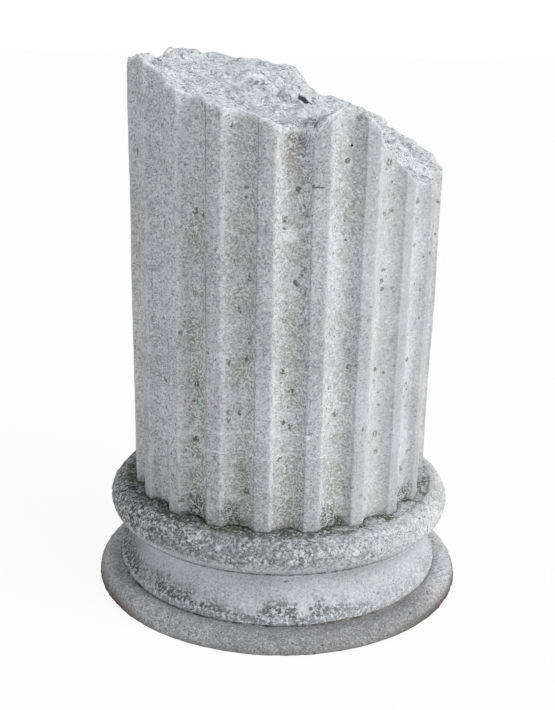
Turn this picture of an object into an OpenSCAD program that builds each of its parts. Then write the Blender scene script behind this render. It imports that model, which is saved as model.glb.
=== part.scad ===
// Stub of a broken fluted column: a fluted shaft, snapped off at a slant, standing on its
// moulded round base. The base is sunk in the ground up to the widest line of its lower torus
// and is cut off flat there.
// Origin: centre of the flat underside. Z runs up the column axis, -Y is the front.

/* [Shaft] */
// Diameter of the shaft over the fillets between the flutes
shaft_d = 640; // [520:5:780]
// Number of flutes round the shaft
flute_count = 20; // [16:1:24]
// Width of the flat fillet left between two flutes
fillet_w = 31; // [14:1:40]
// Depth of a flute below the face of the fillets
flute_depth = 20; // [8:1:26]
// Turn of the fluting about the axis, from the front
flute_turn = 2.9; // [0:0.1:18]

/* [Break] */
// Height of the break above the foot of the shaft, at the axis
break_h = 826; // [600:1:1200]
// Fall of the high left slab from the axis to its outer edge
slab_fall = 68; // [0:1:120]
// Rise of the high left slab from the axis to its back edge
slab_back_rise = 34; // [0:1:60]
// Fall of the low right side from the axis to its outer edge
low_side_fall = 123; // [0:1:160]
// Rise of the low right side from the axis to its back edge
low_side_back_rise = 20; // [0:1:60]
// Step down from the slab to the low right side, at the axis
slab_step = 9; // [0:1:40]
// Height of the tongue of stone left standing at the front right
tongue_h = 72; // [0:1:90]
// Depth of the piece split away at the right of that tongue
right_spall = 35; // [0:1:90]
// Depth of the bite out of the flute at the front
front_spall = 50; // [0:1:60]
// Height of the splinter left standing at the far left
left_splinter = 32; // [0:1:60]
// Depth of the notch in the rim behind that splinter
left_notch = 36; // [0:1:50]
// Height of the low knoll on the back edge of the low right side
right_knoll = 14; // [0:1:50]

/* [Base] */
// How far the upper torus stands out past the shaft
upper_torus_out = 55; // [46:1:90]
// Height of the upper torus
upper_torus_h = 76; // [40:1:90]
// Height of the hollow moulding between the two tori
scotia_h = 95; // [60:1:130]
// How far the hollow moulding curves in from the fillet below it
scotia_depth = 17; // [6:1:30]
// How far the fillet under the hollow moulding stands out past the shaft
base_fillet_out = 37; // [20:1:60]
// Height of that fillet
base_fillet_h = 18; // [8:1:30]
// How far the lower torus stands out past the shaft at the ground
lower_torus_out = 86; // [66:1:130]
// Height of the lower torus above the ground
lower_torus_h = 36; // [24:1:60]

/* [Hidden] */
$fn = 96;

shaft_r = shaft_d / 2;
fillet_angle = fillet_w / shaft_r * 180 / PI;
flute_half_angle = (360 / flute_count - fillet_angle) / 2;
// a flute is a circular arc through its two edges and its deepest line
flute_half_chord = shaft_r * sin(flute_half_angle);
flute_sagitta = flute_depth - shaft_r * (1 - cos(flute_half_angle));
flute_r = (flute_half_chord * flute_half_chord + flute_sagitta * flute_sagitta) / (2 * flute_sagitta);

upper_torus_r = upper_torus_h / 2;
upper_torus_ring = shaft_r + upper_torus_out - upper_torus_r;
scotia_z = lower_torus_h + base_fillet_h;
upper_torus_z = scotia_z + scotia_h;
seat_z = upper_torus_z + upper_torus_h;
base_fillet_r = shaft_r + base_fillet_out;
lower_torus_ring = shaft_r + lower_torus_out - lower_torus_h;

// rings of the break surface as shares of the shaft radius; the last lies outside the shaft
break_rings = [0.2, 0.4, 0.6, 0.78, 0.93, 1.08];
break_steps = 3 * flute_count;
break_top = seat_z + break_h + slab_fall + slab_back_rise + left_splinter + 80;

function ramp(t) = let (c = min(max(t, 0), 1)) c * c * (3 - 2 * c);
function lump(u, v, at_u, at_v, size) = exp(-(pow(u - at_u, 2) + pow(v - at_v, 2)) / (size * size));
function slab(u, v) = -slab_fall * u + slab_back_rise * v;
function low_side(u, v) = -slab_step - low_side_fall * u + low_side_back_rise * v;

// height of the break over the point u to the right and v to the back, in shaft radii
function break_z(u, v) =
    let (side = ramp((u - 0.03) / 0.14))
    seat_z + break_h
    + (1 - side) * slab(u, v) + side * low_side(u, v)
    + tongue_h * lump(u, v, 0.42, -0.92, 0.26)
    - right_spall * lump(u, v, 0.86, -0.5, 0.35)
    - front_spall * lump(u, v, 0.08, -1, 0.09)
    + left_splinter * lump(u, v, -0.9, -0.45, 0.2)
    - left_notch * lump(u, v, -0.9, 0.44, 0.08)
    + right_knoll * lump(u, v, 0.57, 0.82, 0.2);

function break_point(ring, step) =
    let (
        angle = flute_turn - 90 + step * 360 / break_steps,
        u = ring * cos(angle),
        v = ring * sin(angle)
    )
    [shaft_r * u, shaft_r * v, break_z(u, v)];

// everything above the broken surface
module above_break() {
    rings = len(break_rings);
    last_step = break_steps - 1;
    surface = [for (ring = break_rings, step = [0 : last_step]) break_point(ring, step)];
    rim = [for (step = [0 : last_step]) let (p = break_point(break_rings[rings - 1], step))
        [p[0], p[1], break_top]];
    centre = [[0, 0, break_z(0, 0)]];
    points = concat(surface, rim, centre);
    middle = len(points) - 1;
    bands = [for (ring = [0 : rings - 1], step = [0 : last_step])
        let (a = ring * break_steps + step, b = ring * break_steps + (step + 1) % break_steps)
        each [[a, a + break_steps, b + break_steps], [a, b + break_steps, b]]];
    fan = [for (step = [0 : last_step]) [middle, step, (step + 1) % break_steps]];
    lid = [[for (step = [last_step : -1 : 0]) rings * break_steps + step]];
    polyhedron(points = points, faces = concat(bands, fan, lid), convexity = 6);
}

module fluted_outline() {
    difference() {
        circle(r = shaft_r);
        for (k = [0 : flute_count - 1])
            rotate(k * 360 / flute_count + flute_turn - 90)
                translate([shaft_r - flute_depth + flute_r, 0])
                    circle(r = flute_r);
    }
}

module shaft() {
    color([0.72, 0.72, 0.70])
        difference() {
            translate([0, 0, seat_z])
                linear_extrude(height = break_top - seat_z - 20)
                    fluted_outline();
            above_break();
        }
}

// half section of the base, radius along X and height along Y
module base_section() {
    scotia_mid_r = base_fillet_r - scotia_depth;
    scotia_arc_r = (pow(scotia_h / 2, 2) + scotia_depth * scotia_depth) / (2 * scotia_depth);
    difference() {
        square([base_fillet_r, upper_torus_z]);
        translate([scotia_mid_r + scotia_arc_r, scotia_z + scotia_h / 2])
            circle(r = scotia_arc_r);
    }
    square([lower_torus_ring, lower_torus_h]);
    intersection() {
        translate([lower_torus_ring, 0])
            circle(r = lower_torus_h);
        square([lower_torus_ring + lower_torus_h, lower_torus_h]);
    }
    translate([0, upper_torus_z])
        square([upper_torus_ring, upper_torus_h]);
    translate([upper_torus_ring, upper_torus_z + upper_torus_r])
        circle(r = upper_torus_r);
}

module base() {
    color([0.66, 0.66, 0.64])
        rotate_extrude()
            base_section();
}

shaft();
base();
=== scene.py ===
import math
from itertools import product

import bpy
import numpy as np
from mathutils import Matrix, Vector


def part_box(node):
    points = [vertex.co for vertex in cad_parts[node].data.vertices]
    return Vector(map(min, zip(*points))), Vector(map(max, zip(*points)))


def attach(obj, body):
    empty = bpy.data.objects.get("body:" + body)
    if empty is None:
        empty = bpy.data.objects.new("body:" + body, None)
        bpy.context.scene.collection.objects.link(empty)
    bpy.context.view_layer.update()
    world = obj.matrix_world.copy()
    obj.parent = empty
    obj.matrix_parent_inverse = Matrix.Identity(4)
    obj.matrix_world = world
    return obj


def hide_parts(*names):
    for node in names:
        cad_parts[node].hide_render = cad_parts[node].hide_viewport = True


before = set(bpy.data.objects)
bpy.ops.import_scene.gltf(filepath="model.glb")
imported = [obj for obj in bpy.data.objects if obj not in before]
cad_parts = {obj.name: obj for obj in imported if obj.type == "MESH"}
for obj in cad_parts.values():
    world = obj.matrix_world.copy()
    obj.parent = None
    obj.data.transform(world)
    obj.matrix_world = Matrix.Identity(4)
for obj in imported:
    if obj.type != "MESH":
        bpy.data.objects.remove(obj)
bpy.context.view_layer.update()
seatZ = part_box("shaft")[0][2]  # the shaft stands on the base here
print("frame loaded, shaft stands at", round(seatZ, 4))

# camera: metres and degrees, standing in front of the column and looking down at it
cameraPlace = {
    "back": 2.294,
    "height": 1.208,
    "tiltDown": 19.77,
    "turn": -0.17,
    "roll": 1.23,
    "lens": 55.8,
    "shiftUp": 0.070,
}


def makeCamera(place):
    data = bpy.data.cameras.new("camera")
    data.lens = place["lens"]
    data.shift_y = place["shiftUp"]
    camera = bpy.data.objects.new("camera", data)
    bpy.context.scene.collection.objects.link(camera)
    spin = Matrix.Rotation(math.radians(-place["turn"]), 4, "Z")
    tilt = Matrix.Rotation(math.radians(90 - place["tiltDown"]), 4, "X")
    roll = Matrix.Rotation(math.radians(place["roll"]), 4, "Z")
    camera.matrix_world = Matrix.Translation((0, -place["back"], place["height"])) @ spin @ tilt @ roll
    bpy.context.scene.camera = camera


makeCamera(cameraPlace)
print("camera made")


# smooth random numbers in space, the same on every run

def cornerValue(cell, seed):
    key = cell[..., 0] * 73856093 ^ cell[..., 1] * 19349663 ^ cell[..., 2] * 83492791 ^ seed * 668265263
    key = (key ^ (key >> 15)) * 2246822519 & 0xFFFFFFFF
    key = (key ^ (key >> 13)) * 3266489917 & 0xFFFFFFFF
    return ((key ^ (key >> 16)) & 0xFFFFFF) / 0xFFFFFF


def smoothNoise(points, size, seed):
    place = points / size
    cell = np.floor(place).astype(np.int64)
    part = place - cell
    ease = part * part * (3 - 2 * part)
    total = np.zeros(points.shape[:-1])
    for corner in product((0, 1), repeat=3):
        weight = np.prod(np.where(corner, ease, 1 - ease), axis=-1)
        total += weight * cornerValue(cell + corner, seed)
    return total * 2 - 1


def layeredNoise(points, size, seed, layers=4, fade=0.5):
    total, share = 0, 1
    for layer in range(layers):
        total = total + share * smoothNoise(points, size / 2 ** layer, seed + layer)
        share *= fade
    return total


def spotCells(points, size, seed):
    # distance to the nearest seed point, in cells, how much farther the next one is,
    # and a random number for the nearest
    place = points / size
    cell = np.floor(place).astype(np.int64)
    near = np.full(points.shape[:-1], 9.0)
    second = near.copy()
    mark = np.zeros(points.shape[:-1])
    for step in product((-1, 0, 1), repeat=3):
        corner = cell + step
        centre = corner + np.stack([cornerValue(corner, seed + k) for k in range(3)], axis=-1)
        distance = np.linalg.norm(place - centre, axis=-1)
        closer = distance < near
        second = np.where(closer, near, np.minimum(second, distance))
        mark = np.where(closer, cornerValue(corner, seed + 7), mark)
        near = np.where(closer, distance, near)
    return near, second - near, mark


def ramp(value, low=0.0, high=1.0):
    t = np.clip((value - low) / (high - low), 0, 1)
    return t * t * (3 - 2 * t)


def lump(u, v, atU, atV, size):
    return np.exp(-((u - atU) ** 2 + (v - atV) ** 2) / size ** 2)


def softMin(a, b, ease):
    h = np.clip(0.5 + 0.5 * (b - a) / ease, 0, 1)
    return b + (a - b) * h - ease * h * (1 - h)


def meshPiece(name, points, faces, masks, body, node):
    mesh = bpy.data.meshes.new(name)
    mesh.from_pydata([tuple(p) for p in points], [], faces)
    for mask, values in masks.items():
        layer = mesh.attributes.new(mask, "FLOAT", "POINT")
        layer.data.foreach_set("value", np.asarray(values, dtype=np.float32))
    mesh.polygons.foreach_set("use_smooth", [True] * len(mesh.polygons))
    mesh.update()
    piece = bpy.data.objects.new(name, mesh)
    bpy.context.scene.collection.objects.link(piece)
    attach(piece, body)
    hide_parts(node)
    return piece


def closedFaces(rows, columns, over, under):
    # quads between rows of points that close round the axis, and a fan to a point at each end
    faces = []
    for row in range(rows - 1):
        for column in range(columns):
            a = row * columns + column
            b = row * columns + (column + 1) % columns
            faces.append((a, b, b + columns, a + columns))
    last = (rows - 1) * columns
    for column in range(columns):
        after = (column + 1) % columns
        faces.append((last + column, last + after, over))
        faces.append((after, column, under))
    return faces


# the fluted shaft and its break
shaftSizes = {
    "radius": 0.320,
    "flutes": 20,
    "filletWidth": 0.031,
    "fluteDepth": 0.020,
    "turn": 2.9,  # degrees from the front
    "breakHeight": 0.826,  # at the axis, above the foot
    "edgeEase": 0.0010,
    "fluteColumns": 12,
    "filletPlaces": (0, 0.05, 0.14, 0.34, 0.5, 0.66, 0.86, 0.95),  # shares of the fillet's width
    "rows": 165,
    "rings": 76,
    "spallAt": 4.0,  # degrees from the front
    "spallWidth": 4.4,
    "spallDepth": 0.010,
    "spallFoot": 0.895,
    "chip": 0.0050,  # depth of the large chips along the fillets' edges
    "smallChip": 0.0014,
    "pit": 0.0022,
    "footWear": 0.0040,
    "rimNick": 0.0050,
    "settleSteps": 3,  # passes that make the rim meet the break
    "rimWidth": 0.006,  # of the dust along the rim
}


# the break: u and v are shares of the shaft's radius, to the right and to the back
breakSizes = {
    "slabFall": 0.068,
    "slabBackRise": 0.034,
    "lowSideFall": 0.123,
    "lowSideBackRise": 0.020,
    "slabStep": 0.009,
    "tongue": 0.072,  # left standing at the front right
    "rightSpall": 0.035,  # split away beside the tongue
    "frontSpall": 0.050,  # bitten out of the front flute
    "leftSplinter": 0.032,  # left standing at the far left
    "leftNotch": 0.036,  # out of the rim behind the splinter
    "rightKnoll": 0.014,  # on the back edge
    "ledge": 0.013,
    "cleft": 0.026,
    "cleftAt": (0.10, 0.10),
    "cleftLength": 0.088,
    "cleftWidth": 0.030,
    "crack": 0.004,
    "flake": 0.009,
    "valley": 0.016,  # behind the splinter's crest
    "backRim": 0.009,
    "biteHead": 0.016,
    "scoops": (0.085, 0.012, 0.010),  # size, hollow and step of the large conchoidal scars
    "hackles": (0.034, 0.011, 0.005),  # the same for the small ones
    "streaks": (0.024, 0.0032),  # size and height
    "grain": (0.0105, 0.0018),
}


def breakRise(u, v):
    # two slopes with a step between them, and what was torn out of or left on them
    b = breakSizes
    side = ramp(u, 0.03, 0.17)
    slab = -b["slabFall"] * u + b["slabBackRise"] * v
    lowSide = -b["slabStep"] - b["lowSideFall"] * u + b["lowSideBackRise"] * v
    rise = (1 - side) * slab + side * lowSide
    rise = rise + b["tongue"] * lump(u, v, 0.42, -0.92, 0.26)
    rise = rise - b["rightSpall"] * lump(u, v, 0.86, -0.50, 0.35)
    rise = rise - b["frontSpall"] * lump(u, v, 0.08, -1.0, 0.09)
    rise = rise + b["leftSplinter"] * lump(u, v, -0.90, -0.45, 0.20)
    rise = rise - b["leftNotch"] * lump(u, v, -0.90, 0.44, 0.08)
    rise = rise + b["rightKnoll"] * lump(u, v, 0.57, 0.82, 0.20)
    return rise


def cleft(u, v):
    # a slanting, ragged slot that widens towards the back
    b = breakSizes
    right, back = u - b["cleftAt"][0], v - b["cleftAt"][1]
    along = right * 0.52 + back * 0.85
    across = right * 0.85 - back * 0.52 + 0.010 * np.sin(34 * along) + 0.05 * along
    width = np.maximum(b["cleftWidth"] + 0.08 * along, 0.01)
    return np.exp(-(np.abs(along) / b["cleftLength"]) ** 3 - (across / width) ** 2)


def belowLedge(u, v):
    # how far a place lies in front of the ledge that crosses the break
    return 0.03 - 0.45 * (u + 0.10) - v


def cracks(u, v):
    # the dark foot of the ledge and a crack behind the front rim
    foot = np.exp(-((belowLedge(u, v) - 0.02) / 0.022) ** 2 - ((u + 0.06) / 0.20) ** 2)
    return np.maximum(foot, np.exp(-((v + 0.76) / 0.018) ** 2 - ((u + 0.23) / 0.10) ** 4))


def splinterCrest(u, v):
    # how the top line of the far left splinter rises and falls
    rise = 0.012 * lump(u, v, -0.90, 0.15, 0.07) - 0.018 * lump(u, v, -1.0, 0.09, 0.13)
    return rise - 0.005 * lump(u, v, -0.88, -0.43, 0.07) + 0.010 * lump(u, v, -0.79, 0.50, 0.05)


def breakDetail(u, v):
    # the ledge with its cleft, a raised flake, the splinter's valley and the head of the front bite
    b = breakSizes
    front = belowLedge(u, v)
    ledge = ramp(front, 0, 0.05) * ramp(0.50 - front, 0, 0.5) * np.exp(-((u + 0.10) / 0.30) ** 2)
    valley = np.exp(-((np.hypot(u, v) - 0.89) / 0.045) ** 2) * ramp(-u, 0.70, 0.80)
    bite = np.exp(-((u - 0.065) / 0.055) ** 2 - ((v + 1) / 0.20) ** 2)
    sunk = b["ledge"] * ledge + b["cleft"] * cleft(u, v) + b["crack"] * cracks(u, v)
    sunk = sunk + b["valley"] * valley + b["biteHead"] * bite
    raised = b["flake"] * lump(u, v, -0.20, 0.30, 0.09) + b["backRim"] * lump(u, v, 0.0, 1.0, 0.13)
    return raised + splinterCrest(u, v) - sunk


def scars(points, kind, seed, ease):
    # shell-shaped hollows with a step from one to the next
    size, hollow, step = breakSizes[kind]
    near, margin, mark = spotCells(points, size, seed)
    return near ** 2 * hollow - 0.004 + (mark - 0.5) * step * ramp(margin, 0, ease)


def breakHeight(x, y):
    radius = shaftSizes["radius"]
    u, v = x / radius, y / radius
    flat = np.stack([x, y, np.zeros_like(x)], axis=-1)
    shift = [smoothNoise(flat, 0.07, 11), smoothNoise(flat, 0.07, 12), flat[..., 2]]
    bent = flat + 0.02 * np.stack(shift, axis=-1)
    inner = ramp(1.0 - np.hypot(u, v), 0, 0.2)
    streakSize, streakHeight = breakSizes["streaks"]
    grainSize, grainHeight = breakSizes["grain"]
    drawn = bent * [1.1, 0.8, 1]
    fine = scars(bent * [0.75, 1.25, 1], "scoops", 31, 0.25) + scars(drawn, "hackles", 35, 0.3)
    fine = fine + layeredNoise(drawn, streakSize, 41, 3, 0.6) * streakHeight
    fine = fine * (0.25 + 0.75 * inner) + layeredNoise(flat, grainSize, 51, 2, 0.7) * grainHeight
    return seatZ + shaftSizes["breakHeight"] + breakRise(u, v) + breakDetail(u, v) + fine


def cleanRadius(angle):
    s = shaftSizes
    radius, step = s["radius"], 2 * math.pi / s["flutes"]
    half = (step - s["filletWidth"] / radius) / 2
    chord, sag = radius * math.sin(half), s["fluteDepth"] - radius * (1 - math.cos(half))
    arc = (chord ** 2 + sag ** 2) / (2 * sag)
    centre = radius - s["fluteDepth"] + arc
    local = (angle - math.radians(s["turn"] - 90) + step / 2) % step - step / 2
    inside = arc ** 2 - (centre * np.sin(local)) ** 2
    hollow = np.where(inside > 0, centre * np.cos(local) - np.sqrt(np.maximum(inside, 0)), centre)
    clean = softMin(hollow, radius, s["edgeEase"])
    edge = np.exp(-((np.abs(local) - half) * radius / 0.004) ** 2)
    flute = np.clip(1 - np.abs(local) / half, 0, 1)
    return clean, edge, flute


def frontSpall(angle, z):
    # where the front flute's skin split away below the bite
    s = shaftSizes
    across = (np.degrees(angle) + 90 - s["spallAt"]) / s["spallWidth"]
    return np.exp(-across ** 4) * ramp(z, s["spallFoot"], s["spallFoot"] + 0.085)


def wornRadius(angle, z, rimZ):
    s = shaftSizes
    clean, edge, flute = cleanRadius(angle)
    spot = np.stack([np.cos(angle) * clean, np.sin(angle) * clean, z], axis=-1)
    worn = clean + layeredNoise(spot, 0.16, 61, 2) * 0.0011 + layeredNoise(spot, 0.020, 63, 3) * 0.0004
    chip = ramp(smoothNoise(spot * [1, 1, 0.6], 0.030, 71), 0.55, 1.0)
    smallChip = ramp(smoothNoise(spot, 0.012, 72), 0.35, 0.95)
    worn = worn - edge * (s["chip"] * chip + s["smallChip"] * smallChip)
    near, _, mark = spotCells(spot, 0.030, 81)
    worn = worn - s["pit"] * (mark > 0.70) * ramp(0.24 - near, 0, 0.16)
    toFoot = ramp(seatZ + 0.030 - z, 0, 0.030)
    worn = worn - toFoot * (0.0008 + s["footWear"] * np.clip(smoothNoise(spot, 0.03, 91), 0, 1))
    toRim = ramp(z - (rimZ - 0.016), 0, 0.016)
    nick = np.clip(smoothNoise(spot * [1, 1, 0.5], 0.022, 95), 0, 1)
    worn = worn - toRim * (0.0002 + s["rimNick"] * nick)
    rolled = 0.8 + 1.3 * ramp(z - (rimZ - 0.050), 0, 0.050)
    torn = rolled + 0.5 * layeredNoise(spot, 0.016, 97, 2)
    worn = worn - frontSpall(angle, z) * s["spallDepth"] * torn
    return worn, edge, flute


def columnAngles():
    # columns of points round the shaft, closer together at the edges of a flute
    s = shaftSizes
    step = 2 * math.pi / s["flutes"]
    half = (step - s["filletWidth"] / s["radius"]) / 2
    share = np.linspace(-1, 1, s["fluteColumns"], endpoint=False)
    local = np.concatenate([
        half * np.sign(share) * (1 - (1 - np.abs(share)) ** 1.5),
        half + (step - 2 * half) * np.array(s["filletPlaces"]),
    ])
    return (np.arange(s["flutes"])[:, None] * step + local + math.radians(s["turn"] - 90)).ravel()


def shaftRim(angle):
    # where the worn side meets the break
    rimR = cleanRadius(angle)[0]
    for _ in range(shaftSizes["settleSteps"]):
        rimZ = breakHeight(rimR * np.cos(angle), rimR * np.sin(angle))
        rimR = wornRadius(angle, rimZ, rimZ)[0]
    return rimR, rimZ


def shaftSide(angle, rimR, rimZ):
    # rings of points from the foot to the rim, with the masks of each point
    s = shaftSizes
    share = np.linspace(0, 1, s["rows"])[:, None]
    z = seatZ + share * (rimZ - seatZ)
    angles = np.broadcast_to(angle, z.shape)
    radius, edge, flute = wornRadius(angles, z, rimZ)
    radius[-1], z[-1] = rimR, rimZ
    side = np.stack([radius * np.cos(angles), radius * np.sin(angles), z], axis=-1)
    local = np.broadcast_to(np.degrees(angle) - s["turn"] + 90 + 9, z.shape) % 18 - 9
    reach = 0.012 + 0.045 * np.clip(0.5 + smoothNoise(side * [1, 1, 0], 0.05, 151), 0, 1) ** 2
    return side, {
        "broken": ramp(0.005 - (rimZ - z), 0, 0.005),
        "spall": frontSpall(angles, z),
        "flute": flute,
        # only the left edge of each flute, where it faces the key light, for a pale line that is partly
        # wear and partly painted highlight
        "edge": edge * (local < 0),
        "foot": ramp(seatZ + reach - z, 0, 0.016),
        "rim": np.exp(-((rimZ - z) / s["rimWidth"]) ** 2),
        # the part of each flute that faces away from the key light, darkened in the paint as painted shade
        "farWall": ramp(local, 0.5, 4.5) * (flute > 0),
    }


def shaftTop(angle, rimR):
    # rings of points on the break, from the rim inwards, with the masks of each point
    s = shaftSizes
    inward = np.linspace(1, 0, s["rings"] + 1)[1:-1, None]
    x, y = inward * rimR * np.cos(angle), inward * rimR * np.sin(angle)
    u, v = x / s["radius"], y / s["radius"]
    return np.stack([x, y, breakHeight(x, y)], axis=-1), {
        "broken": np.ones_like(x),
        "cleft": cleft(u, v),
        "cracks": cracks(u, v),
        "rim": np.exp(-((1 - inward) * rimR / s["rimWidth"]) ** 2),
    }


def buildShaft():
    angle = columnAngles()
    rimR, rimZ = shaftRim(angle)
    side, sideMasks = shaftSide(angle, rimR, rimZ)
    top, topMasks = shaftTop(angle, rimR)
    peak = np.array([[0, 0, breakHeight(np.zeros(1), np.zeros(1))[0]]])
    foot = np.array([[0, 0, seatZ]])
    points = np.concatenate([side.reshape(-1, 3), top.reshape(-1, 3), peak, foot])
    rows, columns = len(side) + len(top), len(angle)
    faces = closedFaces(rows, columns, rows * columns, rows * columns + 1)
    masks = {}
    for name in sorted(set(sideMasks) | set(topMasks)):
        onSide = sideMasks.get(name, np.zeros(side.shape[:2]))
        onTop = topMasks.get(name, np.zeros(top.shape[:2]))
        onPeak = float(name == "broken")
        masks[name] = np.concatenate([onSide.ravel(), onTop.ravel(), [onPeak, 0]])
    return meshPiece("shaft_stone", points, faces, masks, "root", "shaft")


shaftPiece = buildShaft()
print("shaft made,", len(shaftPiece.data.polygons), "faces")


# the moulded base
baseSizes = {
    "lowerRing": 0.370,  # centre line of the lower torus
    "lowerHeight": 0.036,
    "filletRadius": 0.357,
    "filletTop": 0.054,
    "scotiaDepth": 0.017,
    "lipHeight": 0.1490,
    "upperRing": 0.337,
    "upperRadius": 0.038,
    "seatEdge": 0.290,
    "pit": 0.0024,  # depth of the pits in the crust of the upper torus
    "chip": 0.0050,  # depth of the large chips along the fillet
    "smallChip": 0.0018,
    "dirtTop": 0.100,  # how high the dirt stands in the scotia
    "columns": 640,
    "spacing": 0.0030,
    "sharpSpacing": 0.0016,  # of points along the small, sharp mouldings
}


def arc(centreR, centreZ, radius, fromAngle, toAngle, count=24):
    turn = np.radians(np.linspace(fromAngle, toAngle, count))
    return np.stack([centreR + radius * np.cos(turn), centreZ + radius * np.sin(turn)], axis=-1)


def evenly(path, spacing):
    length = np.concatenate([[0], np.cumsum(np.linalg.norm(np.diff(path, axis=0), axis=1))])
    count = int(round(length[-1] / spacing)) + 1
    wanted = np.linspace(0, length[-1], count)
    return np.stack([np.interp(wanted, length, path[:, k]) for k in (0, 1)], axis=-1)


def scotiaArc(low, high):
    b = baseSizes
    half, depth = (high - low) / 2, b["scotiaDepth"]
    radius = (half ** 2 + depth ** 2) / (2 * depth)
    sweep = math.degrees(math.asin(half / radius))
    centreR = b["filletRadius"] - 0.004 - depth + radius
    return arc(centreR, (low + high) / 2, radius, 180 + sweep, 180 - sweep, 40)


def baseSection():
    # the outline from the ground up: points, and the moulding that each belongs to
    b = baseSizes
    filletR, filletTop, lipZ = b["filletRadius"], b["filletTop"], b["lipHeight"]
    grooveZ = b["lowerHeight"] - 0.001
    face = filletTop - grooveZ
    groove = [(-0.002, 0), (-0.0035, 0.0008), (-0.003, 0.002)]
    fillet = [(-0.001, 0.003), (0, 0.005), (0, face - 0.003), (-0.0012, face - 0.0008)]
    lip = [(-0.0025, -0.0025), (-0.0020, -0.0010), (-0.0030, 0)]
    crevice = [(-0.0075, 0.0004), (-0.0070, 0.0016)]
    upperZ = seatZ - b["upperRadius"]
    stretches = [
        ("lowerTorus", arc(b["lowerRing"], 0, b["lowerHeight"], 0, 104)),
        ("groove", np.array(groove) + [filletR, grooveZ]),
        ("fillet", np.array(fillet) + [filletR, grooveZ]),
        ("step", np.array([(-0.003, 0), (-0.0040, 0.0005)]) + [filletR, filletTop]),
        ("scotia", scotiaArc(filletTop + 0.001, lipZ - 0.003)),
        ("lip", np.array(lip) + [filletR, lipZ]),
        ("crevice", np.array(crevice) + [filletR, lipZ]),
        ("upperTorus", arc(b["upperRing"], upperZ, b["upperRadius"], -68, 90, 48)),
        ("seat", np.array([(b["upperRing"] - 0.001, seatZ), (b["seatEdge"], seatZ)])),
    ]
    points, kinds = [], []
    for name, path in stretches:
        sharp = name in ("groove", "fillet", "step", "lip", "crevice")
        spaced = evenly(path, b["sharpSpacing"] if sharp else b["spacing"])
        points.append(spaced)
        kinds += [name] * len(spaced)
    return np.concatenate(points), np.array(kinds)


def baseWear(spot, on, topSide):
    # how far the surface stands out or in along its normal
    b = baseSizes
    near, _, mark = spotCells(spot, 0.019, 111)
    pits = (mark > 0.5) * ramp(0.42 - near, 0, 0.3)
    push = layeredNoise(spot, 0.15, 101, 2) * 0.0012 + layeredNoise(spot, 0.020, 103, 3) * 0.0005
    rough = layeredNoise(spot, 0.011, 121, 2, 0.7) * 0.0013 - pits * b["pit"]
    push = push + on("upperTorus") * topSide * rough
    push = push + on("lowerTorus") * (layeredNoise(spot, 0.013, 125, 2) * 0.0008 - pits * b["pit"] / 2)
    chip = ramp(smoothNoise(spot, 0.045, 131), 0.30, 0.85) * b["chip"]
    chip = chip + ramp(smoothNoise(spot, 0.016, 132), 0.2, 0.8) * b["smallChip"]
    push = push - on("fillet") * chip
    push = push - on("lip", "crevice") * 0.4 * chip
    return push * (1 - on("seat"))


def baseMasks(spot, r, on, topSide, dirt):
    z = spot[..., 2]
    dirtTop = baseSizes["dirtTop"] + 0.022 * smoothNoise(spot * [1, 1, 0], 0.07, 161)
    scotiaDirt = on("scotia") * ramp(dirtTop - z, 0, 0.040)
    jointDirt = on("upperTorus", "seat") * ramp(0.347 - r, 0, 0.016) * ramp(z, seatZ - 0.01, seatZ)
    return {
        "crust": on("upperTorus", "seat") * topSide,
        # the crevice under the lip is in this mask for painted shade; the rest is dirt
        "dirt": np.clip(scotiaDirt + on("groove", "step", "crevice") + jointDirt, 0, 1),
        "joint": np.clip(jointDirt + dirt, 0, 1),
        "hollow": on("scotia", "lip"),
        "groove": on("groove"),
        "ledge": on("fillet"),
        "lower": on("lowerTorus"),
        # the underside of the upper torus, for painted shade
        "torusUnderShade": on("upperTorus") * ramp(seatZ - 0.052 - z, 0, 0.012),
    }


def buildBase():
    section, kinds = baseSection()
    rows, columns = len(section), baseSizes["columns"]
    angle = np.linspace(0, 2 * math.pi, columns, endpoint=False)
    along = np.gradient(section, axis=0)
    normal = np.stack([along[:, 1], -along[:, 0]], axis=-1)
    normal /= np.linalg.norm(normal, axis=1)[:, None]
    r = np.broadcast_to(section[:, :1], (rows, columns))
    z = np.broadcast_to(section[:, 1:], (rows, columns))
    spot = np.stack([r * np.cos(angle), r * np.sin(angle), z], axis=-1)
    topSide = ramp(z, seatZ - 0.062, seatZ - 0.04)

    def on(*names):
        return np.isin(kinds, names)[:, None].astype(float)

    push = baseWear(spot, on, topSide)
    firstRow = np.arange(rows)[:, None] == 0
    r2 = r + push * normal[:, :1]
    z2 = z + np.where(firstRow, 0, push * normal[:, 1:])
    shaftEdge = cleanRadius(angle)[0][None, :]
    dirt = on("seat", "upperTorus") * ramp(0.330 - r, 0, 0.012) * ramp(r - shaftEdge, 0.001, 0.006)
    z2 = np.maximum(z2 + dirt * (0.004 + 0.003 * smoothNoise(spot, 0.02, 141)), 0)
    rings = np.stack([r2 * np.cos(angle), r2 * np.sin(angle), z2], axis=-1)

    points = np.concatenate([rings.reshape(-1, 3), [[0, 0, 0], [0, 0, seatZ]]])
    faces = closedFaces(rows, columns, rows * columns + 1, rows * columns)
    masks = {}
    for name, values in baseMasks(spot, r, on, topSide, dirt).items():
        full = np.broadcast_to(values, (rows, columns)).ravel()
        masks[name] = np.concatenate([full, [0, 0]])
    return meshPiece("base_stone", points, faces, masks, "root", "base")


basePiece = buildBase()
print("base made,", len(basePiece.data.polygons), "faces")


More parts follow.
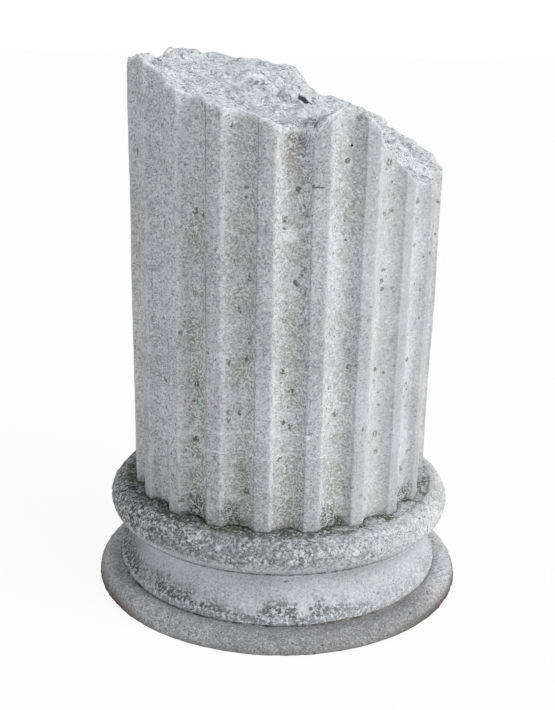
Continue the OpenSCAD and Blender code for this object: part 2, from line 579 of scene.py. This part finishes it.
class Wire:
    # a socket of a shader tree; arithmetic on it adds Math nodes
    def __init__(self, tree, socket=None):
        self.tree, self.socket = tree, socket

    def node(self, kind, settings=None, sockets=None, output=0):
        made = self.tree.nodes.new(kind)
        for name, value in (settings or {}).items():
            setattr(made, name, value)
        for name, value in (sockets or {}).items():
            if isinstance(value, Wire):
                self.tree.links.new(value.socket, made.inputs[name])
            else:
                made.inputs[name].default_value = value
        return Wire(self.tree, made.outputs[output] if made.outputs else None)

    def maths(self, operation, *values):
        return self.node("ShaderNodeMath", {"operation": operation}, dict(enumerate(values)))

    def __add__(self, other):
        return self.maths("ADD", self, other)

    def __sub__(self, other):
        return self.maths("SUBTRACT", self, other)

    def __rsub__(self, other):
        return self.maths("SUBTRACT", other, self)

    def __mul__(self, other):
        return self.maths("MULTIPLY", self, other)

    __radd__ = __add__
    __rmul__ = __mul__

    def between(self, low, high, fromValue=0.0, toValue=1.0):
        settings = {"interpolation_type": "SMOOTHSTEP"}
        sockets = {"Value": self, "From Min": low, "From Max": high}
        sockets.update({"To Min": fromValue, "To Max": toValue})
        return self.node("ShaderNodeMapRange", settings, sockets)

    def most(self, other):
        return self.maths("MAXIMUM", self, other)


class StonePaint(Wire):
    # the parts that every stone surface here is painted with
    def begin(self):
        self.place = self.node("ShaderNodeTexCoord", output="Object")
        sockets = {"Vector": self.place, "Scale": 170, "Detail": 3}
        wobble = self.node("ShaderNodeTexNoise", {}, sockets, "Color")
        half = (0.5, 0.5, 0.5)
        centred = self.node("ShaderNodeVectorMath", {"operation": "SUBTRACT"}, {0: wobble, 1: half})
        scaled = {0: centred, 1: (0.008, 0.008, 0.008), 2: self.place}
        self.bent = self.node("ShaderNodeVectorMath", {"operation": "MULTIPLY_ADD"}, scaled)
        self.x = self.node("ShaderNodeSeparateXYZ", {}, {0: self.place}, "X")
        y = self.node("ShaderNodeSeparateXYZ", {}, {0: self.place}, "Y")
        self.turn = self.maths("ARCTAN2", self.x, y * -1) * math.degrees(1)  # degrees from the front
        self.z = self.node("ShaderNodeSeparateXYZ", {}, {0: self.bent}, "Z")

    def stretched(self, x, y, z):
        sockets = {0: self.place, 1: (x, y, z)}
        return self.node("ShaderNodeVectorMath", {"operation": "MULTIPLY"}, sockets)

    def noise(self, size, detail=3.0, rough=0.5, place=None):
        sockets = {"Vector": place or self.place, "Scale": 1 / size}
        sockets.update({"Detail": detail, "Roughness": rough})
        return self.node("ShaderNodeTexNoise", {}, sockets)

    def grains(self, size):
        # one random number for each grain of the stone
        sockets = {"Vector": self.place, "Scale": 1 / size}
        cell = self.node("ShaderNodeTexVoronoi", {"feature": "F1"}, sockets, "Color")
        return self.node("ShaderNodeSeparateColor", {}, {0: cell})

    def spots(self, size, share, radius, soft=0.08):
        # ragged spots: only a share of the cells has one, each with its own radius
        sockets = {"Vector": self.bent, "Scale": 1 / size, "Randomness": 1.0}
        cell = self.node("ShaderNodeTexVoronoi", {"feature": "F1"}, sockets)
        tint = Wire(self.tree, cell.socket.node.outputs["Color"])
        pick = self.node("ShaderNodeSeparateColor", {}, {0: tint})
        reach = pick.between(0, share, radius, radius * 0.3) * self.maths("LESS_THAN", pick, share)
        return (reach - cell).between(0, soft)

    def markAt(self, degrees, height, size):
        # a ragged mark at one place on the shaft, degrees from the front towards the right
        turn = math.radians(degrees - 90)
        out = float(cleanRadius(np.array(turn))[0])
        return self.around((out * math.cos(turn), out * math.sin(turn), height), size)

    def around(self, spot, size):
        sockets = {0: self.bent, 1: spot}
        away = self.node("ShaderNodeVectorMath", {"operation": "DISTANCE"}, sockets, "Value")
        return away.between(size, size * 0.55)

    def mask(self, name):
        return self.node("ShaderNodeAttribute", {"attribute_name": name}, {}, "Fac")

    def blend(self, amount, first, second):
        first = first if isinstance(first, Wire) else (*first, 1)
        second = second if isinstance(second, Wire) else (*second, 1)
        return self.node("ShaderNodeMix", {"data_type": "RGBA"}, {0: amount, 6: first, 7: second}, 2)

    def finish(self, colour, rough, bumps):
        normal = None
        for height, distance, strength in bumps:
            sockets = {"Height": height, "Distance": distance, "Strength": strength}
            if normal:
                sockets["Normal"] = normal
            normal = self.node("ShaderNodeBump", {}, sockets)
        sockets = {"Base Color": colour, "Roughness": rough, "Normal": normal, "Specular IOR Level": 0.3}
        shader = self.node("ShaderNodeBsdfPrincipled", {}, sockets)
        self.node("ShaderNodeOutputMaterial", {}, {"Surface": shader})


stoneColours = {
    "pale": (0.535, 0.55, 0.57),
    "middle": (0.44, 0.45, 0.465),
    "fresh": (0.46, 0.485, 0.515),
    "deep": (0.13, 0.135, 0.14),
    "white": (0.74, 0.755, 0.775),
    "wisp": (0.80, 0.82, 0.845),
    "gap": (0.25, 0.265, 0.285),
    "algae": (0.125, 0.185, 0.115),
    "olive": (0.20, 0.195, 0.135),
    "lichen": (0.075, 0.078, 0.065),
    "moss": (0.060, 0.068, 0.040),
    "crust": (0.045, 0.047, 0.045),
    # near black painted shade, for the cleft and the hole
    "shadowBlack": (0.012, 0.012, 0.014),
    "stain": (0.20, 0.165, 0.135),
    "soil": (0.192, 0.192, 0.195),
    "darkBrown": (0.075, 0.058, 0.045),
}


def newPaint(name):
    material = bpy.data.materials.new(name)
    material.use_nodes = True
    material.node_tree.nodes.clear()
    paint = StonePaint(material.node_tree)
    paint.begin()
    return material, paint


def marbleGround(paint, contrast, tint=None, tintShare=0.0, flecks=1.0):
    # cloudy grey marble with a crystal grain of a few millimetres, over a tint that the grain shows through
    c = stoneColours
    clouds = paint.noise(0.12, 4, 0.6).between(0.36, 0.64)
    ground = paint.blend(clouds, c["middle"], c["pale"])
    if tint:
        ground = paint.blend(tintShare, ground, tint)
    grain, coarse = paint.grains(0.0027), paint.grains(0.0046)
    ground = paint.blend(grain.between(0.40, 0.05) * contrast, ground, c["deep"])
    ground = paint.blend(grain.between(0.60, 0.95) * contrast * flecks, ground, c["white"])
    ground = paint.blend(coarse.between(0.14, 0.05) * contrast * 0.5, ground, c["deep"])
    ground = paint.blend(coarse.between(0.86, 0.96) * contrast * 0.6 * flecks, ground, c["white"])
    return ground, grain, paint.noise(0.0060, 2, 0.7)


shaftMarks = {
    # degrees from the front, height and size in metres
    "bloom": (2, 0.82, 0.018),
    "hole": (23, 0.98, 0.0034),
    "crack": (11, 0.91),
    "flake": (-0.060, 0.070, 1.078),
    # degrees from the front of a painted shade line down an inner flute corner
    "innerCornerShade": -27.6,
    "veins": [0.43, 0.385],
    "laneWidth": 6.5,  # degrees either side of a flute's middle where dark spots hang
}


def weatherFlutes(paint, area, colour):
    # how the flutes and fillets darkened and grew green, with painted light and shade: paler where a flute
    # wall faces the key light, darker where it faces away and all over the left side
    c = stoneColours
    skin, flute, farWall = area["skin"], area["flute"], area["farWall"]
    left, right = area["left"], area["right"]
    specks, patches = paint.specks, paint.patches
    runs = paint.noise(0.03, 3, 0.6, paint.stretched(1, 1, 0.10))
    colour = paint.blend(runs.between(0.50, 0.68, 0, 0.20) * skin, colour, c["deep"])
    fillet = flute.between(0.12, 0.0) * (1 - left * 0.7) * (1 - right * 0.3)
    colour = paint.blend(fillet * 0.31 * skin, colour, c["deep"])
    # painted highlight: the part of each flute that faces the key light is made paler
    pale = flute.between(0.0, 0.5) * (1 - farWall) * (1 - left * 0.7)
    colour = paint.blend(pale * 0.12 * skin, colour, c["white"])
    # painted shade on the part of each flute that faces away from the key light, in the lichen colour and
    # broken up by specks
    grimeAndShade = farWall * specks.between(0.35, 0.65, 0.3, 1.0) * (1 - right * 0.9) * (1 - left * 0.5)
    colour = paint.blend(grimeAndShade * 0.28 * skin, colour, c["lichen"])
    # painted shade: the whole left side, away from the key light, is made darker
    colour = paint.blend(left * 0.13 * skin, colour, c["deep"])
    low = paint.z.between(0.42, 0.26) * patches.between(0.36, 0.56) * (1 - right * 0.7)
    colour = paint.blend(low * specks.between(0.45, 0.70, 0.2, 1.0) * 0.34 * skin, colour, c["lichen"])
    algae = flute.between(0.05, 0.75) * (patches + low * 0.10).between(0.40, 0.56)
    algae = algae * specks.between(0.36, 0.52) * skin
    damp = paint.z.between(1.00, 0.74, 0.10, 0.85) * paint.turn.between(-50, -43)
    colour = paint.blend(algae * left * damp, colour, c["algae"])
    colour = paint.blend(algae * (1 - left) * (1 - right * 0.6) * 0.48, colour, c["olive"])
    # a pale line along the left edge of each flute: partly a worn arris, partly a painted highlight where
    # it faces the key light, stronger on the lit right side
    wornEdgeAndHighlight = area["edge"] * paint.noise(0.02, 2, 0.5).between(0.36, 0.56) * (0.24 + 0.16 * right)
    return paint.blend(wornEdgeAndHighlight * skin, colour, c["white"])


def spotShaft(paint, area, colour):
    # specks, dark spots that hang in the flutes, and pale round spots
    c = stoneColours
    skin, right, dust = area["skin"], area["right"], paint.dust
    column = paint.noise(0.055, 3, 0.6, paint.stretched(1, 1, 0.22)).between(0.47, 0.60)
    pepper = paint.spots(0.0070, 0.20, 0.34) * (1 - right * 0.4)
    colour = paint.blend(pepper * skin * 0.60, colour, c["lichen"])
    blot = paint.spots(0.018, 0.50, 0.33) * column * dust.between(0.36, 0.50)
    colour = paint.blend(blot * skin * 0.80, colour, c["lichen"])
    halfFlute = 180 / shaftSizes["flutes"]
    offMiddle = paint.maths("WRAP", paint.turn - shaftSizes["turn"], halfFlute, -halfFlute)
    laneWidth = shaftMarks["laneWidth"]
    lane = paint.maths("ABSOLUTE", offMiddle).between(laneWidth, laneWidth * 0.5)
    clusters = paint.noise(0.09, 2, 0.5).between(0.40, 0.50)
    hung = paint.spots(0.021, 0.48, 0.40) * lane * clusters * dust.between(0.42, 0.52)
    colour = paint.blend(hung * skin * (0.90 - right * 0.25), colour, c["lichen"])
    snow = paint.spots(0.011, 0.16, 0.32).most(paint.spots(0.050, 0.30, 0.15))
    return paint.blend(snow * skin * 0.42, colour, c["white"])


def markShaft(paint, area, colour):
    # a painted shade line in an inner flute corner, veins, pale bloom, a hole painted black as shade, crack
    # and moss, each in its own place
    c = stoneColours
    skin, dust, patches = area["skin"], paint.dust, paint.patches
    # painted shade: a dark line down the inner corner of the flute at this turn, where the fillet beside it
    # hides the flute
    offInnerCorner = paint.maths("ABSOLUTE", paint.turn - shaftMarks["innerCornerShade"])
    innerCornerShade = offInnerCorner.between(0.36, 0.10) * patches.between(0.62, 0.46)
    colour = paint.blend(innerCornerShade * skin * 0.75, colour, c["lichen"])
    colour = spotShaft(paint, area, colour)
    for height in shaftMarks["veins"]:
        path = paint.z + paint.noise(0.05, 5, 0.7) * 0.05 - 0.025
        vein = paint.maths("ABSOLUTE", path - height).between(0.0024, 0.0006)
        vein = vein * patches.between(0.36, 0.48)
        reach = paint.x.between(-0.20, -0.12) * paint.x.between(0.14, 0.08)
        colour = paint.blend(vein * reach * skin * 0.5, colour, c["white"])
    bloom = paint.markAt(*shaftMarks["bloom"]) * dust.between(0.34, 0.46, 0.4, 1)
    colour = paint.blend(bloom * 0.62, colour, c["white"])
    crackTurn, crackHeight = shaftMarks["crack"]
    along = paint.maths("ABSOLUTE", paint.turn - crackTurn).between(1.8, 1.0)
    crack = paint.maths("ABSOLUTE", paint.z - crackHeight).between(0.0022, 0.0008) * along
    # painted shade: the hole is only painted near black, with no hollow in the mesh
    colour = paint.blend(paint.markAt(*shaftMarks["hole"]), colour, c["shadowBlack"])
    crackEye = paint.markAt(crackTurn - 2, crackHeight, 0.0055) * dust.between(0.36, 0.50, 0.4, 1)
    colour = paint.blend(crack.most(crackEye) * 0.8, colour, c["crust"])
    moss = (dust * 0.5 + paint.specks * 0.2).between(0.29, 0.40) * area["flute"].between(0, 0.3, 0.35, 1.0)
    return paint.blend(area["foot"] * moss * 0.85, colour, c["moss"])


def paintBreak(paint, area, colour):
    # the break, its rim, the cleft in it and the skin split away below it
    c = stoneColours
    broken, spall, torn = area["broken"], area["spall"], area["torn"]
    wisps, specks = paint.wisps, paint.specks
    slabs = paint.noise(0.055, 3, 0.6, paint.stretched(0.7, 1.3, 1))
    ridges = paint.maths("ABSOLUTE", wisps - 0.5)
    crests = paint.noise(0.024, 3, 0.6, paint.stretched(0.55, 0.9, 1))
    offCrest = paint.maths("ABSOLUTE", crests - 0.5)
    colour = paint.blend(broken * 0.6, colour, c["fresh"])
    colour = paint.blend(broken * slabs.between(0.46, 0.58) * 0.46, colour, c["gap"])
    colour = paint.blend(torn * wisps.between(0.49, 0.42) * 0.85, colour, c["gap"])
    colour = paint.blend(torn * wisps.between(0.59, 0.66) * 0.60, colour, c["gap"])
    colour = paint.blend(torn * wisps.between(0.40, 0.34) * 0.60, colour, c["deep"])
    colour = paint.blend(torn * ridges.between(0.040, 0.010) * 0.74, colour, c["wisp"])
    colour = paint.blend(torn * offCrest.between(0.016, 0.004) * 0.60, colour, c["wisp"])
    flake = paint.around(shaftMarks["flake"], 0.022) * wisps.between(0.40, 0.48)
    colour = paint.blend(flake * 0.75, colour, c["wisp"])
    colour = paint.blend(area["cracks"] * wisps.between(0.56, 0.46) * 0.50, colour, c["deep"])
    bite = paint.markAt(shaftSizes["spallAt"], 1.015, 0.075)
    bitten = bite * torn * ridges.between(0.015, 0.045, 0.25, 1)
    colour = paint.blend(bitten * specks.between(0.20, 0.70) * 0.75, colour, c["deep"])
    # painted shadow: the cleft's hollow is painted near black as well
    colour = paint.blend(area["cleft"].between(0.13, 0.30) * 0.95, colour, c["shadowBlack"])
    brown = spall.between(0.0, 0.5) * paint.turn.between(6.5, 2.5) * specks.between(0.25, 0.60)
    colour = paint.blend(brown * 0.55, colour, c["stain"])
    pocked = spall * paint.turn.between(3.0, 6.0) * specks.between(0.25, 0.75)
    colour = paint.blend(pocked * 0.62, colour, c["deep"])
    colour = paint.blend(spall * specks.between(0.90, 0.96) * 0.60, colour, c["wisp"])
    dusty = paint.noise(0.0075, 3, 0.7).between(0.40, 0.52) * (1 - area["right"] * 0.55)
    return paint.blend(area["rim"] * dusty * 0.80, colour, c["white"])


def shaftPaint():
    material, paint = newPaint("shaft_weathered_marble")
    names = ("broken", "flute", "edge", "rim", "spall", "foot", "cleft", "cracks", "farWall")
    area = {name: paint.mask(name) for name in names}
    area["torn"] = area["broken"].most(area["spall"] * 0.8)
    area["skin"] = 1 - area["broken"].most(area["spall"])
    area["right"] = paint.x.between(0.05, 0.24)
    area["left"] = paint.x.between(0.04, -0.22)
    contrast = area["farWall"].between(0, 1, 0.50, 0.68) * (1 - area["right"] * 0.60)
    colour, grain, fine = marbleGround(paint, contrast + area["left"] * 0.08)
    paint.dust = paint.noise(0.0048, 2, 0.7)
    paint.specks = paint.grains(0.0031)
    paint.patches = paint.noise(0.06, 4, 0.7)
    paint.wisps = paint.noise(0.0085, 4, 0.75, paint.stretched(0.75, 0.65, 1))
    colour = weatherFlutes(paint, area, colour)
    colour = markShaft(paint, area, colour)
    colour = paintBreak(paint, area, colour)
    tears = paint.wisps * area["torn"]
    bumps = [(grain, 0.0010, 0.4), (fine, 0.0006, 0.4), (tears, 0.004, 0.6), (paint.patches, 0.002, 0.3)]
    paint.finish(colour, 0.9, bumps)
    return material


def crustTorus(paint, area, colour):
    # the rough, blackened crust on the upper torus, and painted shade on its underside
    c = stoneColours
    crust, toRight, farLeft = area["crust"], area["toRight"], area["farLeft"]
    patches, speckle = paint.patches, paint.speckle
    blackened = crust * (1 - toRight * 0.80) * patches.between(0.34, 0.60, 0.55, 1.0)
    colour = paint.blend(crust * (1 - toRight) * 0.68, colour, c["deep"])
    flaked = speckle.between(0.48, 0.38) * patches.between(0.36, 0.56, 0.35, 1.0)
    colour = paint.blend(crust * flaked * (0.40 + 0.20 * (1 - toRight)), colour, c["white"])
    bigFlecks = paint.spots(0.026, 0.40, 0.34) * paint.grit.between(0.38, 0.48)
    bigFlecks = bigFlecks * patches.between(0.36, 0.50)
    colour = paint.blend(crust * bigFlecks * 0.50, colour, c["white"])
    colour = paint.blend(blackened * speckle.between(0.53, 0.63) * 0.72, colour, c["crust"])
    colour = paint.blend(crust * farLeft * speckle.between(0.46, 0.58) * 0.62, colour, c["crust"])
    # painted shade on the underside of the upper torus, where it turns under
    return paint.blend(area["torusUnderShade"] * (1 - toRight * 0.7) * 0.30, colour, c["deep"])


def spotBase(paint, area, colour):
    # specks, spots, pits and pale flecks
    c = stoneColours
    lower, grit = area["lower"], paint.grit
    cluster = paint.noise(0.07, 3, 0.6).between(0.44, 0.58)
    colour = paint.blend(paint.spots(0.0070, 0.24, 0.34) * 0.60, colour, c["lichen"])
    blot = paint.spots(0.019, 0.35, 0.30) * cluster
    colour = paint.blend(blot * grit.between(0.36, 0.50, 0.3, 1) * 0.70, colour, c["lichen"])
    snow = paint.spots(0.011, 0.18, 0.32).most(paint.spots(0.055, 0.20, 0.13))
    colour = paint.blend(snow * (1 - area["soiled"] * 0.7) * 0.40, colour, c["white"])
    pitted = lower * paint.spots(0.0085, 0.40, 0.34)
    colour = paint.blend(pitted * 0.70, colour, c["crust"])
    worn = lower * paint.x.between(-0.05, -0.25) * paint.patches.between(0.44, 0.60)
    return paint.blend(worn * grit.between(0.50, 0.58) * 0.40, colour, c["white"])


def dirtBase(paint, area, colour):
    # dirt in the scotia, on the fillet and where the stones meet, painted shade in the crevice under the
    # lip, and a darker brown towards the ground
    c = stoneColours
    hollow, ledge, dirt, groove = area["hollow"], area["ledge"], area["dirt"], area["groove"]
    toRight, grit = area["toRight"], paint.grit
    colour = paint.blend(hollow * 0.14, colour, c["deep"])
    colour = paint.blend(hollow * area["farLeft"] * 0.20, colour, c["deep"])
    leftEnd = paint.x.between(-0.26, -0.325) * grit.between(0.40, 0.54)
    colour = paint.blend(hollow * leftEnd * 0.75, colour, c["crust"])
    smeared = grit.between(0.44, 0.54, 0.10, 0.75) * (1 - toRight * 0.5)
    colour = paint.blend(ledge * smeared, colour, c["deep"])
    colour = paint.blend(ledge * grit.between(0.44, 0.36) * 0.5, colour, c["white"])
    # darker brown on the lower torus towards the ground, higher and stronger at the sides
    atSides = paint.maths("ABSOLUTE", paint.x).between(0.20, 0.36)
    ground = paint.z.between(0.014 + atSides * 0.018, 0.0) * (0.35 + atSides * 0.60)
    colour = paint.blend(area["lower"] * ground, colour, c["darkBrown"])
    # dark crust on the dirt mask: dirt, and painted shade in the crevice under the lip
    grimeAndShade = dirt * paint.patches.between(0.36, 0.50) * grit.between(0.42, 0.53)
    grimeAndShade = grimeAndShade.most(dirt * hollow * paint.spots(0.017, 0.55, 0.36))
    colour = paint.blend(grimeAndShade * (1 - toRight * 0.6) * 0.88, colour, c["crust"])
    clumps = paint.noise(0.035, 3, 0.7).between(0.47, 0.58)
    colour = paint.blend(area["joint"] * clumps * grit.between(0.38, 0.50) * 0.9, colour, c["moss"])
    colour = paint.blend(groove * clumps.between(0, 1, 0.45, 0.9), colour, c["crust"])
    return paint.blend(groove * toRight * 0.5, colour, c["stain"])


def basePaint():
    material, paint = newPaint("base_weathered_marble")
    names = ("crust", "dirt", "joint", "groove", "hollow", "ledge", "lower", "torusUnderShade")
    area = {name: paint.mask(name) for name in names}
    area["toRight"] = paint.x.between(-0.02, 0.30)
    area["farLeft"] = paint.x.between(-0.16, -0.30)
    # the lower torus is made darker and greyer towards the centre and right, with fewer pale flecks, less
    # so in a band round the right side above the ground
    lessDarkened = paint.turn.between(46, 72) * paint.turn.between(160, 120) * paint.z.between(0.004, 0.016)
    soiled = area["lower"] * paint.x.between(-0.34, 0.02, 0.55, 0.90) * (1 - lessDarkened * 0.8)
    area["soiled"] = soiled
    contrast = 0.55 - area["hollow"] * 0.20
    soil = stoneColours["soil"]
    colour, grain, fine = marbleGround(paint, contrast, soil, soiled, 1 - soiled * 0.68)
    paint.patches = paint.noise(0.05, 4, 0.7)
    paint.grit = paint.noise(0.0065, 3, 0.7)
    crumbs = paint.grains(0.0036) * 0.25 + paint.grains(0.0065) * 0.15
    paint.speckle = paint.noise(0.011, 4, 0.8) * 0.6 + crumbs
    colour = crustTorus(paint, area, colour)
    colour = spotBase(paint, area, colour)
    colour = dirtBase(paint, area, colour)
    scabs = paint.speckle * area["crust"]
    bumps = [(grain, 0.0010, 0.4), (fine, 0.0006, 0.4), (scabs, 0.0035, 0.8), (paint.patches, 0.002, 0.3)]
    paint.finish(colour, 0.9, bumps)
    return material


shaftPiece.data.materials.append(shaftPaint())
basePiece.data.materials.append(basePaint())
print("stone painted")


# floor, sky and lamps
studio = {
    "floorSize": 60.0,
    "floorColour": (0.86, 0.86, 0.86),
    "floorWhite": 0.90,
    "sky": 0.54,
    "sun": 2.75,
    "fill": 0.56,
    "sunSpread": 40.0,
}


def makeFloor():
    half = studio["floorSize"] / 2
    mesh = bpy.data.meshes.new("floor")
    corners = [(-half, -half, 0), (half, -half, 0), (half, half, 0), (-half, half, 0)]
    mesh.from_pydata(corners, [], [(0, 1, 2, 3)])
    floor = bpy.data.objects.new("floor", mesh)
    bpy.context.scene.collection.objects.link(floor)
    material = bpy.data.materials.new("floor_paper")
    material.use_nodes = True
    material.node_tree.nodes.clear()
    wire = Wire(material.node_tree)
    paper = wire.node("ShaderNodeBsdfDiffuse", {}, {"Color": (*studio["floorColour"], 1)})
    glow = wire.node("ShaderNodeEmission", {}, {"Color": (1, 1, 1, 1), "Strength": 1.0})
    seen = wire.node("ShaderNodeLightPath", {}, {}, "Is Camera Ray")
    mixed = wire.node("ShaderNodeMixShader", {}, {0: seen * studio["floorWhite"], 1: paper, 2: glow})
    wire.node("ShaderNodeOutputMaterial", {}, {"Surface": mixed})
    mesh.materials.append(material)


def makeSky():
    world = bpy.data.worlds.new("sky")
    world.use_nodes = True
    world.node_tree.nodes.clear()
    bpy.context.scene.world = world
    wire = Wire(world.node_tree)
    seen = wire.node("ShaderNodeLightPath", {}, {}, "Is Camera Ray")
    strength = seen * (1 - studio["sky"]) + studio["sky"]
    sky = wire.node("ShaderNodeBackground", {}, {"Color": (1, 1, 1, 1), "Strength": strength})
    wire.node("ShaderNodeOutputWorld", {}, {"Surface": sky})


def makeSun(name, azimuth, elevation, strength, spread, colour):
    # azimuth is degrees from the front towards the right
    data = bpy.data.lights.new(name, "SUN")
    data.energy, data.angle, data.color = strength, math.radians(spread), colour
    lamp = bpy.data.objects.new(name, data)
    a, e = math.radians(azimuth), math.radians(elevation)
    towards = Vector((math.sin(a) * math.cos(e), -math.cos(a) * math.cos(e), math.sin(e)))
    lamp.rotation_mode = "QUATERNION"
    lamp.rotation_quaternion = towards.to_track_quat("Z", "Y")
    bpy.context.scene.collection.objects.link(lamp)


makeFloor()
makeSky()
makeSun("key", 66, 30, studio["sun"], studio["sunSpread"], (1.0, 0.988, 0.975))
makeSun("fill", -52, 20, studio["fill"], studio["sunSpread"], (0.98, 0.99, 1.0))
bpy.context.scene.view_settings.view_transform = "Standard"
print("studio made")
